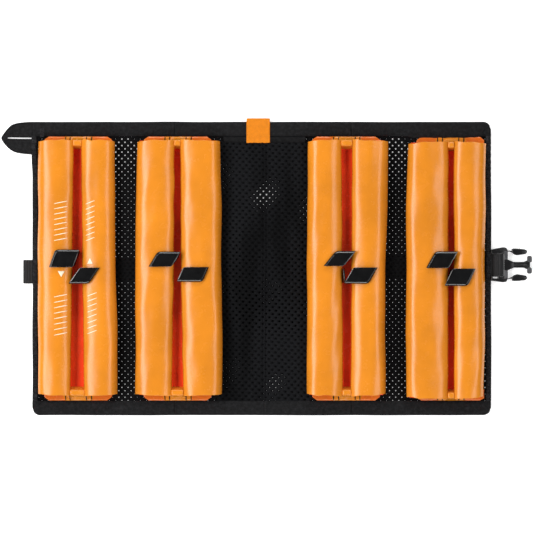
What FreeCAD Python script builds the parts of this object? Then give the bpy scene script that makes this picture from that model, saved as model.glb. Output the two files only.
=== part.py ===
"""A roll-up case for eight ice screws, lying open on a flat surface.

Four pairs of orange sleeves are sewn on a black mesh backing with a wide spine in
the middle. +X runs along the open case, +Y towards its hanging loop and label, +Z
out of the sleeves. Z = 0 is the surface it lies on. All sizes are in millimetres.
"""

import FreeCAD, Part
import os
from collections import namedtuple

V = FreeCAD.Vector
OUT = "parts"

# Outline of the open case
CASE_LEFT, CASE_RIGHT = -243.5, 233.5
CASE_BOTTOM, CASE_TOP = -154.3, 150.1
CORNER_R = 8.0
EDGE_TAPE = 14.8
SIDE_TAPE = 5.2
TAPE_THICK = 4.0
SPLIT = 0.4  # half the gap between two pieces of fabric at a fold line

# Backing mesh, spine pocket and webbing strap
MESH_LOW, MESH_THICK = 1.6, 1.0
POCKET_LOW, POCKET_THICK = 2.8, 0.6
SEW_GAP = 0.1
STRAP_WIDTH, STRAP_THICK = 25.0, 1.4
STRAP_Y, STRAP_SLOPE = -1.9, 0.0146

# Sleeves: one sheet per panel, rolled inwards into two tubes
SHEET = 1.0
SLEEVE_LOW = MESH_LOW + MESH_THICK + 0.05
TUBE_HIGH = 20.0
LIP_RUN, LIP_DROP = 8.0, 4.0
TONGUE_HALF, TONGUE_WIDE = 31.5, 35.0

# Retainers: a foot with two stems in the slot, and a leaf on top of each stem
FOOT_HALF_X, FOOT_HALF_Y, FOOT_THICK = 2.6, 19.5, 1.0
STEM_THICK, STEM_INSET = 1.4, 1.2
LEAF_LOW = SLEEVE_LOW + TUBE_HIGH + 0.75
LEAF_THICK = 2.2
STEM_GAP = 0.9

# Fold lines: the doors fold over their own sleeves, the inner panels at the spine
FOLD_X = {"left_door": -145.75, "left_inner": -45.3, "right_inner": 41.2, "right_door": 136.0}
DOOR_FOLD_Z = LEAF_LOW + LEAF_THICK + 0.35
INNER_FOLD_Z = TAPE_THICK + 0.1

# Side-release buckle for the strap
BUCKLE_MID = 1.6
BUCKLE_WIDTH = 36.0
BUCKLE_THICK = 7.0
SWING_X, SWING_Z = 234.6, 0.8
FEMALE_LONG, FEMALE_WIDE, FEMALE_THICK = 36.0, 33.0, 8.6
BUMP_RISE = 7.3

# Hanging loop at the top left corner
LOOP_X, LOOP_Z = -244.9, 2.0
LOOP_TIP = -275.8
LOOP_MID, LOOP_TAPE = 133.2, 16.0
LOOP_SLIT = 1.6

# Each panel: its edges or fold lines, its tubes and slot in X, and the tubes' ends in Y
Panel = namedtuple("Panel", "name left right tube_left slot slot_wide tube_right low high")
PANELS = [
    Panel("left_door", CASE_LEFT, FOLD_X["left_door"], -237.5, -196.0, 12.0, -155.5, -134.5, 132.5),
    Panel(
        "left_inner", FOLD_X["left_door"], FOLD_X["left_inner"],
        -136.0, -92.5, 9.0, -47.0, -134.5, 132.5,
    ),
    Panel(
        "right_inner", FOLD_X["right_inner"], FOLD_X["right_door"],
        43.0, 83.0, 9.5, 126.0, -134.5, 132.5,
    ),
    Panel(
        "right_door", FOLD_X["right_door"], CASE_RIGHT,
        146.0, 191.5, 6.0, 228.2, -137.5, 130.5,
    ),
]

# Leaves of the retainers: near corner, width, lean of the slanted sides, y range, stem
Leaf = namedtuple("Leaf", "left wide lean low high stem")
LEAVES = {
    "left_door": (
        Leaf(-224.8, 25.0, 6.5, -0.8, 17.5, -193.0),
        Leaf(-204.4, 21.0, 11.4, -17.8, -1.2, -200.0),
    ),
    "left_inner": (
        Leaf(-122.0, 24.0, 9.5, -0.2, 15.4, -90.0),
        Leaf(-92.6, 26.5, 6.5, -15.8, -0.6, -92.0),
    ),
    "right_inner": (
        Leaf(58.8, 21.0, 12.6, 0.5, 16.0, 86.5),
        Leaf(80.2, 25.3, 9.5, -17.8, -1.0, 80.8),
    ),
    "right_door": (
        Leaf(164.8, 23.5, 9.6, -1.6, 15.6, 193.3),
        Leaf(184.0, 24.0, 8.2, -20.0, -2.2, 189.7),
    ),
}


def box(x0, x1, y0, y1, z0, z1):
    return Part.makeBox(x1 - x0, y1 - y0, z1 - z0, V(x0, y0, z0))


def prism(points, z0, z1):
    """A flat outline in X and Y, raised from z0 to z1."""
    wire = Part.makePolygon([V(x, y, z0) for x, y in points + points[:1]])
    return Part.Face(wire).extrude(V(0, 0, z1 - z0))


def with_round_corner(solid, x, y, radius):
    """The solid with its upright edge at x, y rounded."""
    edges = [
        e
        for e in solid.Edges
        if all(abs(v.X - x) < 0.01 and abs(v.Y - y) < 0.01 for v in e.Vertexes)
    ]
    return solid.makeFillet(radius, edges)


def span(panel):
    """The panel's own width, clear of the fold lines beside it."""
    left = panel.left if panel.left == CASE_LEFT else panel.left + SPLIT
    right = panel.right if panel.right == CASE_RIGHT else panel.right - SPLIT
    return left, right


def mesh_span(panel):
    left, right = span(panel)
    if panel.left == CASE_LEFT:
        left += SIDE_TAPE
    if panel.right == CASE_RIGHT:
        right -= SIDE_TAPE
    return left, right


def mesh_ends():
    return CASE_BOTTOM + EDGE_TAPE + SEW_GAP, CASE_TOP - EDGE_TAPE - SEW_GAP


def backing(panel):
    left, right = mesh_span(panel)
    low, high = mesh_ends()
    return box(left, right, low, high, MESH_LOW, MESH_LOW + MESH_THICK)


def edge_tape(left, right, top):
    """Folded binding along the top or bottom edge, rounded at the case's outer corners."""
    low = CASE_TOP - EDGE_TAPE if top else CASE_BOTTOM
    tape = box(left, right, low, low + EDGE_TAPE, 0, TAPE_THICK)
    corner_y = CASE_TOP if top else CASE_BOTTOM
    if right == CASE_RIGHT:
        tape = with_round_corner(tape, CASE_RIGHT, corner_y, CORNER_R)
    if left == CASE_LEFT and not top:
        tape = with_round_corner(tape, CASE_LEFT, corner_y, CORNER_R)
    return tape


def side_tape(left):
    low, high = CASE_BOTTOM + EDGE_TAPE + SEW_GAP, CASE_TOP - EDGE_TAPE - SEW_GAP
    x = CASE_LEFT if left else CASE_RIGHT - SIDE_TAPE
    return box(x, x + SIDE_TAPE - SEW_GAP, low, high, 0, TAPE_THICK)


def strap(x0, x1):
    """A length of the webbing that runs along the back, slightly askew."""
    mid0, mid1 = STRAP_Y + STRAP_SLOPE * x0, STRAP_Y + STRAP_SLOPE * x1
    half = STRAP_WIDTH / 2
    outline = [(x0, mid0 - half), (x1, mid1 - half), (x1, mid1 + half), (x0, mid0 + half)]
    return prism(outline, 0, STRAP_THICK)


def tube_outline(panel, inset):
    """Half-round sides and open lips of the rolled sheet, as a list of edges.

    inset 0 gives the outer surface, inset SHEET the inner one. The edges run from
    the right lip clockwise round the base to the left lip.
    """
    y = panel.low
    z0, z1 = SLEEVE_LOW + inset, SLEEVE_LOW + TUBE_HIGH - inset
    radius = (z1 - z0) / 2
    mid_z = (z0 + z1) / 2
    half_slot = panel.slot_wide / 2
    left_turn = panel.tube_left + inset + radius
    right_turn = panel.tube_right - inset - radius
    lip_left, lip_right = panel.slot - half_slot, panel.slot + half_slot
    drop = z1 - LIP_DROP

    def point(x, z):
        return V(x, y, z)

    right_arc = Part.Arc(
        point(right_turn, z1), point(right_turn + radius, mid_z), point(right_turn, z0)
    )
    left_arc = Part.Arc(
        point(left_turn, z0), point(left_turn - radius, mid_z), point(left_turn, z1)
    )
    return [
        Part.LineSegment(point(lip_right, drop), point(lip_right + LIP_RUN, z1)),
        Part.LineSegment(point(lip_right + LIP_RUN, z1), point(right_turn, z1)),
        right_arc,
        Part.LineSegment(point(right_turn, z0), point(left_turn, z0)),
        left_arc,
        Part.LineSegment(point(left_turn, z1), point(lip_left - LIP_RUN, z1)),
        Part.LineSegment(point(lip_left - LIP_RUN, z1), point(lip_left, drop)),
    ]


def sleeve(panel):
    """One orange sheet rolled into two tubes, with a flat tongue at both ends."""
    outer = tube_outline(panel, 0)
    inner = tube_outline(panel, SHEET)
    ends = [
        Part.LineSegment(outer[0].StartPoint, inner[0].StartPoint),
        Part.LineSegment(outer[-1].EndPoint, inner[-1].EndPoint),
    ]
    edges = [curve.toShape() for curve in outer + inner + ends]
    profile = Part.Face(Part.Wire(Part.__sortEdges__(edges)))
    rolled = profile.extrude(V(0, panel.high - panel.low, 0))
    low, high = mesh_ends()
    for tube_end, tape_end in ((panel.low, low), (panel.high, high)):
        inside = 2.0 if tape_end > 0 else -2.0
        outline = [
            (panel.slot - TONGUE_WIDE, tube_end - inside),
            (panel.slot - TONGUE_WIDE, tube_end),
            (panel.slot - TONGUE_HALF, tape_end),
            (panel.slot + TONGUE_HALF, tape_end),
            (panel.slot + TONGUE_WIDE, tube_end),
            (panel.slot + TONGUE_WIDE, tube_end - inside),
        ]
        rolled = rolled.fuse(prism(outline, SLEEVE_LOW, SLEEVE_LOW + SHEET))
    return rolled.removeSplitter()


def retainer_foot(panel):
    """Foot on the slot's floor with one upright stem under each leaf."""
    floor = SLEEVE_LOW + SHEET + 0.05
    foot = box(
        panel.slot - FOOT_HALF_X,
        panel.slot + FOOT_HALF_X,
        -FOOT_HALF_Y,
        FOOT_HALF_Y,
        floor,
        floor + FOOT_THICK,
    )
    half = STEM_THICK / 2
    for leaf in LEAVES[panel.name]:
        foot_left = min(leaf.stem - half, panel.slot - FOOT_HALF_X)
        foot_right = max(leaf.stem + half, panel.slot + FOOT_HALF_X)
        low, high = leaf.low + STEM_INSET, leaf.high - STEM_INSET
        foot = foot.fuse(box(foot_left, foot_right, low, high, floor, floor + FOOT_THICK))
        stem = box(leaf.stem - half, leaf.stem + half, low, high, floor, LEAF_LOW - STEM_GAP)
        foot = foot.fuse(stem)
    return foot.removeSplitter()


def retainer_leaf(leaf):
    """A slanted leaf with bevelled upper edges."""
    outline = [
        (leaf.left, leaf.low),
        (leaf.left + leaf.wide, leaf.low),
        (leaf.left + leaf.wide + leaf.lean, leaf.high),
        (leaf.left + leaf.lean, leaf.high),
    ]
    plate = prism(outline, LEAF_LOW, LEAF_LOW + LEAF_THICK)
    top = LEAF_LOW + LEAF_THICK
    rim = [e for e in plate.Edges if all(abs(v.Z - top) < 0.01 for v in e.Vertexes)]
    return plate.makeChamfer(1.0, rim)


def bump(low):
    """The tent that the spine's fabric makes over the buckle half behind it."""
    base = [V(-30, -34, low), V(30, -34, low), V(30, 34, low), V(-30, 34, low)]
    peak = low + BUMP_RISE
    flat = [V(-19, -18, peak), V(19, -18, peak), V(19, 18, peak), V(-19, 18, peak)]
    rings = [Part.makePolygon(ring + ring[:1]) for ring in (base, flat)]
    return Part.makeLoft(rings, True)


def spine_sheet(y0, y1, low, thick):
    """A flat sheet across the spine with a raised place over the buckle half."""
    left, right = FOLD_X["left_inner"] + SPLIT, FOLD_X["right_inner"] - SPLIT
    hollow = bump(low)
    raised = bump(low)
    raised.translate(V(0, 0, thick))
    sheet = box(left, right, y0, y1, low, low + thick).fuse(raised)
    return sheet.cut(hollow).removeSplitter()


def label():
    """Orange tab folded over the top edge of the spine."""
    front = box(-21.0, 3.8, 128.4, CASE_TOP + 4.2, TAPE_THICK + SEW_GAP, TAPE_THICK + 0.9)
    fold = box(-21.0, 3.8, CASE_TOP + SEW_GAP, CASE_TOP + 4.2, 1.4, TAPE_THICK + 0.9)
    return front.fuse(fold).removeSplitter()


def strap_stub():
    """The strap's end, folded under beside the left edge."""
    x0, x1 = -253.2, CASE_LEFT - SEW_GAP
    mid = STRAP_Y + STRAP_SLOPE * CASE_LEFT
    low, high = mid - STRAP_WIDTH / 2, mid + STRAP_WIDTH / 2
    return box(x0, x1, low, high, 0, 3.2)


def haul_loop():
    """Binding tape folded back on itself, with a slit between its two legs."""
    z0, z1 = LOOP_Z - 1.2, LOOP_Z + 1.2
    start = LOOP_X - 0.4
    top, bottom = LOOP_MID + LOOP_TAPE, LOOP_MID - LOOP_TAPE
    outline = [
        (start, bottom),
        (start, top),
        (-257.0, top - 1.6),
        (-267.0, top - 7.5),
        (LOOP_TIP, LOOP_MID + 2.0),
        (LOOP_TIP, LOOP_MID - 2.0),
        (-267.0, bottom + 7.5),
        (-257.0, bottom + 1.6),
    ]
    slit = box(-269.0, start + 1, LOOP_MID - LOOP_SLIT / 2, LOOP_MID + LOOP_SLIT / 2, z0 - 1, z1 + 1)
    return prism(outline, z0, z1).cut(slit)


def male_webbing():
    """Short webbing from the case's right edge round the buckle's bar."""
    low, high = BUCKLE_MID - STRAP_WIDTH / 2, BUCKLE_MID + STRAP_WIDTH / 2
    tail = box(SWING_X + 0.4, 238.2, low, high, 0, 1.6)
    wrap = box(238.0, 246.4, low, high, 0, 6.4)
    bar_space = box(239.4, 245.0, low - 1, high + 1, 1.6, 4.8)
    return tail.fuse(wrap).cut(bar_space).removeSplitter()


def male_frame():
    """Frame, strap bar, guide tongue and T-shaped nose of the buckle's male half."""
    half = BUCKLE_WIDTH / 2
    z0, z1 = 0.4, BUCKLE_THICK
    low, high = BUCKLE_MID - half, BUCKLE_MID + half
    frame = box(236.6, 251.0, low, high, z0, z1)
    for y in (low, high):
        frame = with_round_corner(frame, 251.0, y, 3.0)
    frame = frame.cut(box(230.0, 247.0, low + 4.2, high - 4.2, z0 - 1, z1 + 1))
    bar = box(240.0, 244.4, low + 2, high - 2, 2.0, 4.4)
    wedge = prism([(250.5, -4.6), (256.5, -2.0), (256.5, 5.2), (250.5, 7.8)], 1.4, 6.0)
    tongue = box(256.0, 272.5, BUCKLE_MID - 3.0, BUCKLE_MID + 3.0, 1.6, 5.8)
    nose = box(271.6, 276.0, BUCKLE_MID - 8.6, BUCKLE_MID + 8.6, 1.4, 6.0)
    for y in (BUCKLE_MID - 8.6, BUCKLE_MID + 8.6):
        nose = with_round_corner(nose, 276.0, y, 2.6)
    return frame.fuse([bar, wedge, tongue, nose]).removeSplitter()


def male_prong(side):
    """One side prong: a thin neck and a barbed head that snaps out of the socket."""
    half = BUCKLE_WIDTH / 2
    outer = BUCKLE_MID + side * (half - 0.8)

    def at(depth):
        return outer - side * depth

    neck = prism(
        [(251.4, at(3.2)), (256.0, at(3.4)), (256.0, at(0.8)), (251.4, at(1.0))], 1.4, 6.0
    )
    head = prism(
        [
            (255.5, at(6.0)),
            (262.0, at(6.6)),
            (270.6, at(3.6)),
            (270.6, at(1.8)),
            (266.0, at(0.2)),
            (255.5, at(-0.4)),
        ],
        1.0,
        6.4,
    )
    return neck.fuse(head).removeSplitter()


def female_socket():
    """The buckle's other half, behind the spine, with its mouth to the left."""
    half_x, half_y = FEMALE_LONG / 2, FEMALE_WIDE / 2
    body = box(-half_x, half_x, -half_y, half_y, 0, FEMALE_THICK)
    mouth = box(-half_x - 1, 5.0, -half_y + 2.2, half_y - 2.2, 1.5, FEMALE_THICK - 1.5)
    windows = box(-8.0, 4.0, -half_y - 1, half_y + 1, 1.5, FEMALE_THICK - 1.5)
    bar_slot = box(7.5, 10.0, -13.0, 13.0, -1, FEMALE_THICK + 1)
    bar_end = box(13.4, half_x + 1, -13.0, 13.0, 3.6, FEMALE_THICK + 1)
    return body.cut(mouth).cut(windows).cut(bar_slot).cut(bar_end)


def panel_parts(panel):
    left, right = span(panel)
    x0, x1 = mesh_span(panel)
    parts = {
        "backing": backing(panel),
        "top_binding": edge_tape(left, right, True),
        "bottom_binding": edge_tape(left, right, False),
        "strap": strap(x0, x1),
        "sleeves": sleeve(panel),
        "retainer_foot": retainer_foot(panel),
        "retainer_leaf_upper": retainer_leaf(LEAVES[panel.name][0]),
        "retainer_leaf_lower": retainer_leaf(LEAVES[panel.name][1]),
    }
    return {f"{panel.name}_{piece}": shape for piece, shape in parts.items()}


def spine_parts():
    left, right = FOLD_X["left_inner"] + SPLIT, FOLD_X["right_inner"] - SPLIT
    low, high = mesh_ends()
    hem_low = 128.6
    half = FEMALE_LONG / 2
    straps = strap(left, -half - 1.0).fuse(strap(half + 0.4, right))
    return {
        "spine_backing": spine_sheet(low, high, MESH_LOW, MESH_THICK),
        "spine_pocket": spine_sheet(low, hem_low - SEW_GAP, POCKET_LOW, POCKET_THICK),
        "spine_pocket_hem": box(left, right, hem_low, high, POCKET_LOW, POCKET_LOW + 1.6),
        "spine_top_binding": edge_tape(left, right, True),
        "spine_bottom_binding": edge_tape(left, right, False),
        "spine_strap": straps,
        "spine_label": label().cut(box(-30, 10, 120, high, 0, POCKET_LOW + 1.7)),
        "buckle_female_socket": female_socket(),
    }


def edge_parts():
    return {
        "left_side_binding": side_tape(True),
        "right_side_binding": side_tape(False),
        "strap_stub": strap_stub(),
        "haul_loop": haul_loop(),
        "buckle_male_webbing": male_webbing(),
        "buckle_male_frame": male_frame(),
        "buckle_male_prong_upper": male_prong(1),
        "buckle_male_prong_lower": male_prong(-1),
    }


def main():
    os.makedirs(OUT, exist_ok=True)
    parts = {}
    for panel in PANELS:
        parts.update(panel_parts(panel))
    parts.update(spine_parts())
    parts.update(edge_parts())
    for name, shape in parts.items():
        shape.exportStep(os.path.join(OUT, name + ".step"))
        print(name, "solids", len(shape.Solids), "valid", shape.isValid())
    print(len(parts), "nodes")


main()
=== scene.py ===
"""Looks of the roll-up ice screw case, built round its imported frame. Sizes are in mm."""

import math

import bpy
import numpy as np
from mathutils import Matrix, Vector, geometry


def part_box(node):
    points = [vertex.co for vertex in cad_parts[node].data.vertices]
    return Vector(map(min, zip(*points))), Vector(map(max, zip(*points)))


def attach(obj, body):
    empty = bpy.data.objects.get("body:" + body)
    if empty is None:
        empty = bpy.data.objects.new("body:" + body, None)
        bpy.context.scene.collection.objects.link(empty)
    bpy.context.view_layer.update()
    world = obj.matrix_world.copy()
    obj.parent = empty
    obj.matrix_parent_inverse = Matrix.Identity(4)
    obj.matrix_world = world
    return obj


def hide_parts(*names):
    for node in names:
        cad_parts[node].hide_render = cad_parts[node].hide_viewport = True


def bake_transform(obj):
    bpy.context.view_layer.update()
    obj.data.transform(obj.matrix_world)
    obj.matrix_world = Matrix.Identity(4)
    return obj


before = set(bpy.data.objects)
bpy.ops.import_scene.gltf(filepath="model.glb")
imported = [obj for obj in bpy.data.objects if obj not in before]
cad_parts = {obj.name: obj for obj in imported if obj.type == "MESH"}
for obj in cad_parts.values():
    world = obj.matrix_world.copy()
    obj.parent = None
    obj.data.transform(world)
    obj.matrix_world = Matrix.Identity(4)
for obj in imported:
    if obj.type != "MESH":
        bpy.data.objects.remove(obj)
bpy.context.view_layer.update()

MM = 0.001
TAU = 2 * math.pi
WAVE_COUNT = 7
EDGE_RINGS = 4  # rings round each rounded edge of a block
STITCH_SIDES = 6
# Along a stitch: share of its length, share of its radius, and its rise in radii
STITCH_RINGS = ((0, 0.35, -0.6), (0.18, 1.0, 0.9), (0.82, 1.0, 0.9), (1, 0.35, -0.6))


# ---- small helpers
def cad_box(node):
    """Lowest and highest corner of a CAD node, in mm."""
    low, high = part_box(node)
    return np.array(low) / MM, np.array(high) / MM


def waves(seed, x, y, long_x, long_y):
    """Soft unevenness of about +-1, with no wave shorter than long_x by long_y."""
    rng = np.random.default_rng(seed)
    total = 0.0
    for _ in range(WAVE_COUNT):
        kx, ky = rng.uniform(-1, 1, 2) * TAU / np.array([long_x, long_y])
        total = total + np.sin(kx * x + ky * y + rng.uniform(0, TAU))
    return total / math.sqrt(2 * WAVE_COUNT)


def smooth_step(t):
    t = np.clip(t, 0.0, 1.0)
    return t * t * (3 - 2 * t)


def mesh_object(name, points, faces, materials, smooth, slots=None):
    """A mesh object from points in mm, with one value of smooth for each face."""
    mesh = bpy.data.meshes.new(name)
    mesh.from_pydata((np.asarray(points, float) * MM).tolist(), [], [list(f) for f in faces])
    for material in materials:
        mesh.materials.append(material)
    mesh.polygons.foreach_set("use_smooth", smooth)
    if slots is not None:
        mesh.polygons.foreach_set("material_index", slots)
    mesh.update()
    piece = bpy.data.objects.new(name, mesh)
    bpy.context.scene.collection.objects.link(piece)
    return piece


class Build:
    """Collects points and faces of one piece, with a material slot per face."""

    def __init__(self):
        self.points, self.faces, self.slots, self.smooth, self.count = [], [], [], [], 0

    def add(self, points, faces, slot=0, flat=0):
        """The last faces, as many as flat says, are flat ends with sharp edges."""
        points = np.asarray(points, float).reshape(-1, 3)
        self.points.append(points)
        self.faces += [[i + self.count for i in f] for f in faces]
        self.slots += list(slot) if hasattr(slot, "__len__") else [slot] * len(faces)
        self.smooth += [True] * (len(faces) - flat) + [False] * flat
        self.count += len(points)

    def piece(self, name, *skins):
        points, materials = np.concatenate(self.points), [SKINS[skin] for skin in skins]
        return mesh_object(name, points, self.faces, materials, self.smooth, self.slots)


def grid_faces(rows, columns, flip=False):
    """Quads over a grid of points whose last column joins the first."""
    faces = []
    for first in range(0, (rows - 1) * columns, columns):
        for c in range(columns):
            a, b = first + c, first + (c + 1) % columns
            quad = [a, b, b + columns, a + columns]
            faces.append(quad[::-1] if flip else quad)
    return faces


def add_capped(build, ring, flip=False, slot=0):
    """A closed sweep, rows x columns x 3, with flat ends."""
    ring = np.asarray(ring, float)
    rows, columns = ring.shape[:2]
    faces = grid_faces(rows, columns, flip=flip)
    first = list(range(columns))
    last = [(rows - 1) * columns + c for c in first]
    faces += [first if flip else first[::-1], last[::-1] if flip else last]
    build.add(ring, faces, slot, flat=2)


def spline(points, samples):
    """A smooth curve through points, evenly sampled along its length."""
    points = np.asarray(points, float)
    padded = np.vstack([2 * points[0] - points[1], points, 2 * points[-1] - points[-2]])
    fine = []
    for i in range(len(points) - 1):
        a, b, c, d = padded[i : i + 4]
        t = np.linspace(0, 1, 12, endpoint=False)[:, None]
        fine.append(
            0.5 * (2 * b + (c - a) * t + (2 * a - 5 * b + 4 * c - d) * t**2
                   + (3 * b - a - 3 * c + d) * t**3)
        )
    fine = np.vstack([*fine, points[-1:]])
    along = np.concatenate([[0], np.cumsum(np.linalg.norm(np.diff(fine, axis=0), axis=1))])
    at = np.linspace(0, along[-1], samples)
    return np.column_stack([np.interp(at, along, fine[:, k]) for k in range(fine.shape[1])])


def right_normals(curve):
    """Unit normals on the right-hand side of an open curve."""
    tangent = np.gradient(curve, axis=0)
    normal = np.column_stack([tangent[:, 1], -tangent[:, 0]])
    return normal / np.linalg.norm(normal, axis=1, keepdims=True)


def outline_normals(outline):
    """Outward unit normals of a closed anticlockwise outline."""

    def unit(v):
        return v / np.maximum(np.linalg.norm(v, axis=1, keepdims=True), 1e-9)

    edge_in, edge_out = outline - np.roll(outline, 1, 0), np.roll(outline, -1, 0) - outline
    return unit(unit(edge_in)[:, ::-1] * [1, -1] + unit(edge_out)[:, ::-1] * [1, -1])


def add_strip(build, rings, flip=False, slot=0):
    """A closed sweep whose rings are doubled-over strips, so that quads can close its ends."""
    rings = np.asarray(rings)
    rows, columns = rings.shape[:2]
    faces = grid_faces(rows, columns, flip=flip)
    for row, turned in ((0, not flip), (rows - 1, flip)):
        for c in range(columns // 2 - 1):
            quad = [row * columns + i for i in (c, c + 1, columns - 2 - c, columns - 1 - c)]
            faces.append(quad[::-1] if turned else quad)
    build.add(rings, faces, slot)


def rounded_corners(corners, radius, steps=6):
    """A closed polygon with each corner rounded."""
    corners = np.asarray(corners, float)
    outline = []
    for i, corner in enumerate(corners):
        before, after = corners[i - 1], corners[(i + 1) % len(corners)]
        cut = radius[i] if hasattr(radius, "__len__") else radius
        a = corner + (before - corner) / np.linalg.norm(before - corner) * cut
        b = corner + (after - corner) / np.linalg.norm(after - corner) * cut
        for t in np.linspace(0, 1, steps):
            outline.append((1 - t) ** 2 * a + 2 * t * (1 - t) * corner + t * t * b)
    return np.array(outline)


def oblong(x0, x1, y0, y1):
    return [(x0, y0), (x1, y0), (x1, y1), (x0, y1)]


def solid_shape(build, corners, low, high, corner, edge, slot=0):
    """A flat block from its anticlockwise corners, with rounded corners and edges."""
    outline = rounded_corners(corners, corner)
    normals = outline_normals(outline)
    radius = min(edge, (high - low) / 2 - 1e-3)
    layers = [(radius * (1 - math.sin(a)), low + radius * (1 - math.cos(a)))
              for a in np.linspace(0, math.pi / 2, EDGE_RINGS)]
    layers += [(inset, low + high - z) for inset, z in layers[::-1]]
    points = [flat_ring(outline - normals * inset, z) for inset, z in layers]
    n = len(outline)
    faces = grid_faces(len(layers), n)
    cap = [Vector(p) for p in points[-1]]
    top = (len(layers) - 1) * n
    for a, b, c in geometry.tessellate_polygon([cap]):
        up = (cap[b] - cap[a]).cross(cap[c] - cap[a]).z > 0
        tri = (a, b, c) if up else (a, c, b)
        faces += [[top + i for i in tri], tri[::-1]]
    build.add(np.concatenate(points), faces, slot)


def flat_ring(outline, z):
    return np.column_stack([outline, np.broadcast_to(z, len(outline))])


def stitches(build, starts, ends, radius, slot=0):
    """Short threads that dip into the cloth at both ends."""
    for a, b in zip(np.asarray(starts, float), np.asarray(ends, float)):
        length = np.linalg.norm(b - a)
        way = (b - a) / length
        side = np.cross(way, [0, 0, 1])
        side /= max(np.linalg.norm(side), 1e-9)
        up = np.cross(side, way)
        points = []
        for t, swell, lift in STITCH_RINGS:
            centre = a + way * length * t + up * (radius * lift)
            for angle in np.arange(STITCH_SIDES) * TAU / STITCH_SIDES:
                around = math.cos(angle) * side + math.sin(angle) * up
                points.append(centre + radius * swell * around)
        faces = grid_faces(len(STITCH_RINGS), STITCH_SIDES)
        first = range(STITCH_SIDES)
        faces += [first[::-1], [3 * STITCH_SIDES + k for k in first]]
        build.add(points, faces, slot)


def seam(build, a, b, pitch, length, radius):
    """A row of stitches from a to b, in the piece's second material."""
    a, b = np.asarray(a, float), np.asarray(b, float)
    total = np.linalg.norm(b - a)
    way = (b - a) / total
    starts = a + way * np.arange(0.5 * pitch, total - length, pitch)[:, None]
    stitches(build, starts, starts + way * length, radius, slot=1)


# ---- materials
ONE_WAVE = 0.314159  # scale of a wave texture that gives one band per unit


class Nodes:
    """Short way to wire a Principled material over object coordinates."""

    def __init__(self, name):
        self.material = bpy.data.materials.new(name)
        self.material.use_nodes = True
        self.tree = self.material.node_tree
        self.shader = self.tree.nodes["Principled BSDF"]
        self.where = self.node("ShaderNodeTexCoord").outputs["Object"]

    def node(self, kind, **settings):
        made = self.tree.nodes.new(kind)
        for key, value in settings.items():
            if key in made.inputs:
                made.inputs[key].default_value = value
            else:
                setattr(made, key, value)
        return made

    def link(self, source, target):
        self.tree.links.new(source, target)

    def scaled(self, scale, turn=0.0):
        """Object coordinates, turned about Z and scaled along each axis (per mm)."""
        scale = [s / MM for s in scale]
        mapping = self.node("ShaderNodeMapping", Rotation=(0, 0, turn), Scale=scale)
        self.link(self.where, mapping.inputs["Vector"])
        return mapping.outputs["Vector"]

    def noise(self, size, detail=3.0, rough=0.55, stretch=(1, 1, 1)):
        """Noise with features about size mm across."""
        made = self.node("ShaderNodeTexNoise", Detail=detail, Roughness=rough, Scale=1.0)
        self.link(self.scaled([k / size for k in stretch]), made.inputs["Vector"])
        return made.outputs["Fac"]

    def ribs(self, pitch, axis, turn=0.0, distortion=0.0):
        """Ridges every pitch mm."""
        made = self.node("ShaderNodeTexWave", wave_type="BANDS", bands_direction=axis,
                         Scale=ONE_WAVE, Distortion=distortion, Detail=1.0)
        self.link(self.scaled([1 / pitch] * 3, turn), made.inputs["Vector"])
        return made.outputs["Fac"]

    def math(self, operation, a, b):
        made = self.node("ShaderNodeMath", operation=operation)
        for value, socket in zip((a, b), made.inputs):
            if isinstance(value, (int, float)):
                socket.default_value = value
            else:
                self.link(value, socket)
        return made.outputs[0]

    def spread(self, source, low, high, start=0.3, end=0.7):
        made = self.node("ShaderNodeMapRange", **{
            "From Min": start, "From Max": end, "To Min": low, "To Max": high
        })
        self.link(source, made.inputs["Value"])
        return made.outputs["Result"]

    def tones(self, source, *stops):
        """Colours along a source, each stop as (position, colour)."""
        ramp = self.node("ShaderNodeValToRGB")
        elements = ramp.color_ramp.elements
        while len(elements) < len(stops):
            elements.new(0.5)
        for element, (position, colour) in zip(elements, stops):
            element.position = position
            element.color = (*colour, 1)
        self.link(source, ramp.inputs["Fac"])
        return ramp.outputs["Color"]

    def bump(self, height, depth, under=None):
        """Bump of depth mm, on top of an earlier bump."""
        made = self.node("ShaderNodeBump", Strength=1.0, Distance=depth * MM)
        self.link(height, made.inputs["Height"])
        if under:
            self.link(under, made.inputs["Normal"])
        return made.outputs["Normal"]

    def finish(self, colour, roughness, normal, **fixed):
        self.link(colour, self.shader.inputs["Base Color"])
        self.link(roughness, self.shader.inputs["Roughness"])
        if normal:
            self.link(normal, self.shader.inputs["Normal"])
        for name, value in fixed.items():
            self.shader.inputs[name.replace("_", " ")].default_value = value
        return self.material


def shade(colour, factor):
    return tuple(min(c * factor, 1.0) for c in colour)


ORANGE = (0.662, 0.218, 0.0135)
# Deep red for the sleeves' inner faces: painted shade and interreflection inside the slots.
PAINTED_SLOT_SHADE = (0.93, 0.060, 0.010)
LABEL_ORANGE = (0.765, 0.228, 0.0088)
TAPE_GREY = (0.0066, 0.0066, 0.0072)
HEM_BLACK = (0.0035, 0.0035, 0.0040)
MESH_BLACK = (0.0021, 0.0021, 0.0024)
POCKET_BLACK = (0.0040, 0.0042, 0.0048)
WEB_BLACK = (0.0085, 0.0085, 0.0092)
PLASTIC_BLACK = (0.0055, 0.0055, 0.0060)
THREAD_BLACK = (0.0050, 0.0050, 0.0055)
INK_CREAM = (0.93, 0.80, 0.60)


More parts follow.
